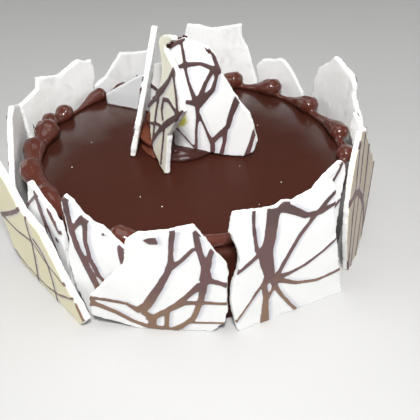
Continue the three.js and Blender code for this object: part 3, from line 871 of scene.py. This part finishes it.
def add_lump(place, radius, squash=1.0):
    """A small uneven lump at a place"""
    bpy.ops.object.select_all(action="DESELECT")
    bpy.ops.mesh.primitive_ico_sphere_add(
        subdivisions=3, radius=radius, location=place, scale=(1, 1, squash))
    piece = bpy.context.active_object
    bpy.ops.object.transform_apply(location=True, rotation=True, scale=True)
    ruffle(piece, 1.2 * radius, 0.8 * radius)
    bpy.ops.object.shade_smooth()
    return piece


def add_tip(start, end, thickness):
    """A thin drawn-out tip from a place to another"""
    along = end - start
    bpy.ops.object.select_all(action="DESELECT")
    bpy.ops.mesh.primitive_cone_add(
        vertices=12, radius1=thickness, radius2=0.1 * thickness, depth=along.length,
        location=(start + end) / 2, rotation=along.to_track_quat("Z", "Y").to_euler())
    piece = bpy.context.active_object
    bpy.ops.object.transform_apply(location=True, rotation=True, scale=True)
    apply_modifier(piece, "REMESH", mode="VOXEL", voxel_size=0.25 * thickness)
    apply_modifier(piece, "SMOOTH", factor=0.5, iterations=3)
    ruffle(piece, 3 * thickness, 0.6 * thickness)
    bpy.ops.object.shade_smooth()
    return piece


class CAKE_OT_scatter_crumbs(Operator):
    """Adds dark crumbs and drawn-out tips, and pale flecks on the coat"""
    bl_idname = "cake.scatter_crumbs"
    bl_label = "Scatter Crumbs"

    def execute(self, context):
        rng = np.random.default_rng(CRUMB_SEED)
        dark = [add_tip(MM * Vector(start), MM * Vector(end), MM * t) for start, end, t in TIPS]
        for node, (radii, places) in CRUMBS.items():
            shard = bpy.data.objects[node + "_piece"]
            for place in places:
                found = shard.closest_point_on_mesh(MM * Vector(place))[1]
                dark.append(add_lump(found, MM * rng.uniform(*radii)))
        crumbs = join(dark, "dark_crumbs")
        seat(crumbs, bpy.data.materials["poured_ganache"], [])
        coat = bpy.data.objects["ganache_coat"]
        pale = []
        for x, y in FLECKS:
            found = coat.closest_point_on_mesh(MM * Vector((x, y, FLECK_DROP)))[1]
            pale.append(add_lump(found, MM * rng.uniform(*FLECK_RADII), FLECK_FLATNESS))
        flecks = join(pale, "pale_flecks")
        count = len(flecks.data.vertices)
        for name in ("drizzle", "shadow_trail"):
            store(flecks, name, np.full(count, -FAR_FROM_DRIZZLE))
        store(flecks, "depth", np.full(count, INSIDE_PLATE))
        seat(flecks, bpy.data.materials["drizzled_white_chocolate"], [])
        return {"FINISHED"}


# Stage

def add_soft_box(name, place, aim, width, power):
    """A square soft light that looks at a point"""
    data = bpy.data.lights.new(name, "AREA")
    data.size = width
    data.energy = power
    light = bpy.data.objects.new(name, data)
    bpy.context.collection.objects.link(light)
    light.location = place
    light.rotation_euler = (Vector(aim) - Vector(place)).to_track_quat("-Z", "Y").to_euler()


class CAKE_OT_set_stage(Operator):
    """Adds the floor, the lights and the camera"""
    bl_idname = "cake.set_stage"
    bl_label = "Set Stage"

    def execute(self, context):
        scene = context.scene
        stage = scene.cake_stage
        take_hold(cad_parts["cake_body"])
        bpy.ops.object.select_all(action="DESELECT")
        bpy.ops.mesh.primitive_plane_add(size=12, location=(0, 0, 0))
        floor = context.active_object
        floor.name = "floor"
        floor.data.materials.append(floor_material(scene.cake_colours))
        self.add_camera(scene, stage)
        for name, (place, width, setting, share) in SOFT_BOXES.items():
            add_soft_box(name, place, LIT_PLACE, width, share * getattr(stage, setting))
        world = bpy.data.worlds.new("soft_room")
        world.use_nodes = True
        background = world.node_tree.nodes["Background"]
        background.inputs["Color"].default_value = (0.96, 0.98, 1.0, 1)
        background.inputs["Strength"].default_value = stage.sky
        scene.world = world
        scene.view_settings.view_transform = "Standard"
        return {"FINISHED"}

    @staticmethod
    def add_camera(scene, stage):
        """Sets the camera on the front of the cake, looking a little past its middle"""
        data = bpy.data.cameras.new("camera")
        data.lens = stage.lens
        camera = bpy.data.objects.new("camera", data)
        scene.collection.objects.link(camera)
        level, right, up = stage.elevation, stage.aim_right, stage.aim_up
        ahead = Vector((0, math.cos(level), -math.sin(level)))
        aside = Vector((1, 0, 0))
        above = aside.cross(ahead)
        aim = (ahead * math.cos(right) + aside * math.sin(right)) * math.cos(up) + above * math.sin(up)
        camera.location = -stage.distance * ahead
        camera.rotation_mode = "QUATERNION"
        camera.rotation_quaternion = aim.to_track_quat("-Z", "Y") @ Quaternion((0, 0, 1), stage.roll)
        scene.camera = camera


# Panel and registration

OPERATORS = (
    CAKE_OT_pour_coat,
    CAKE_OT_pipe_border,
    CAKE_OT_pipe_rosette,
    CAKE_OT_stand_side_shards,
    CAKE_OT_stand_top_shards,
    CAKE_OT_scatter_crumbs,
    CAKE_OT_set_stage,
)


class CAKE_PT_panel(Panel):
    """Lists the cake's settings and the steps that make it"""
    bl_label = "Ganache Cake"
    bl_idname = "CAKE_PT_panel"
    bl_space_type = "VIEW_3D"
    bl_region_type = "UI"
    bl_category = "Cake"

    def draw(self, context):
        for group in (context.scene.cake_sizes, context.scene.cake_colours, context.scene.cake_stage):
            box = self.layout.box()
            for name in group.__annotations__:
                box.prop(group, name)
        for operator in OPERATORS:
            self.layout.operator(operator.bl_idname)


SETTINGS = {"cake_sizes": CakeSizes, "cake_colours": CakeColours, "cake_stage": CakeStage}
CLASSES = (*SETTINGS.values(), *OPERATORS, CAKE_PT_panel)


def register():
    for each in CLASSES:
        bpy.utils.register_class(each)
    for name, settings in SETTINGS.items():
        setattr(bpy.types.Scene, name, PointerProperty(type=settings))


def unregister():
    for name in SETTINGS:
        delattr(bpy.types.Scene, name)
    for each in reversed(CLASSES):
        bpy.utils.unregister_class(each)


def main():
    """Makes every piece in order"""
    register()
    bpy.ops.cake.pour_coat()
    bpy.ops.cake.pipe_border()
    bpy.ops.cake.pipe_rosette()
    bpy.ops.cake.stand_side_shards()
    bpy.ops.cake.stand_top_shards()
    bpy.ops.cake.scatter_crumbs()
    bpy.ops.cake.set_stage()


if __name__ == "__main__":
    main()
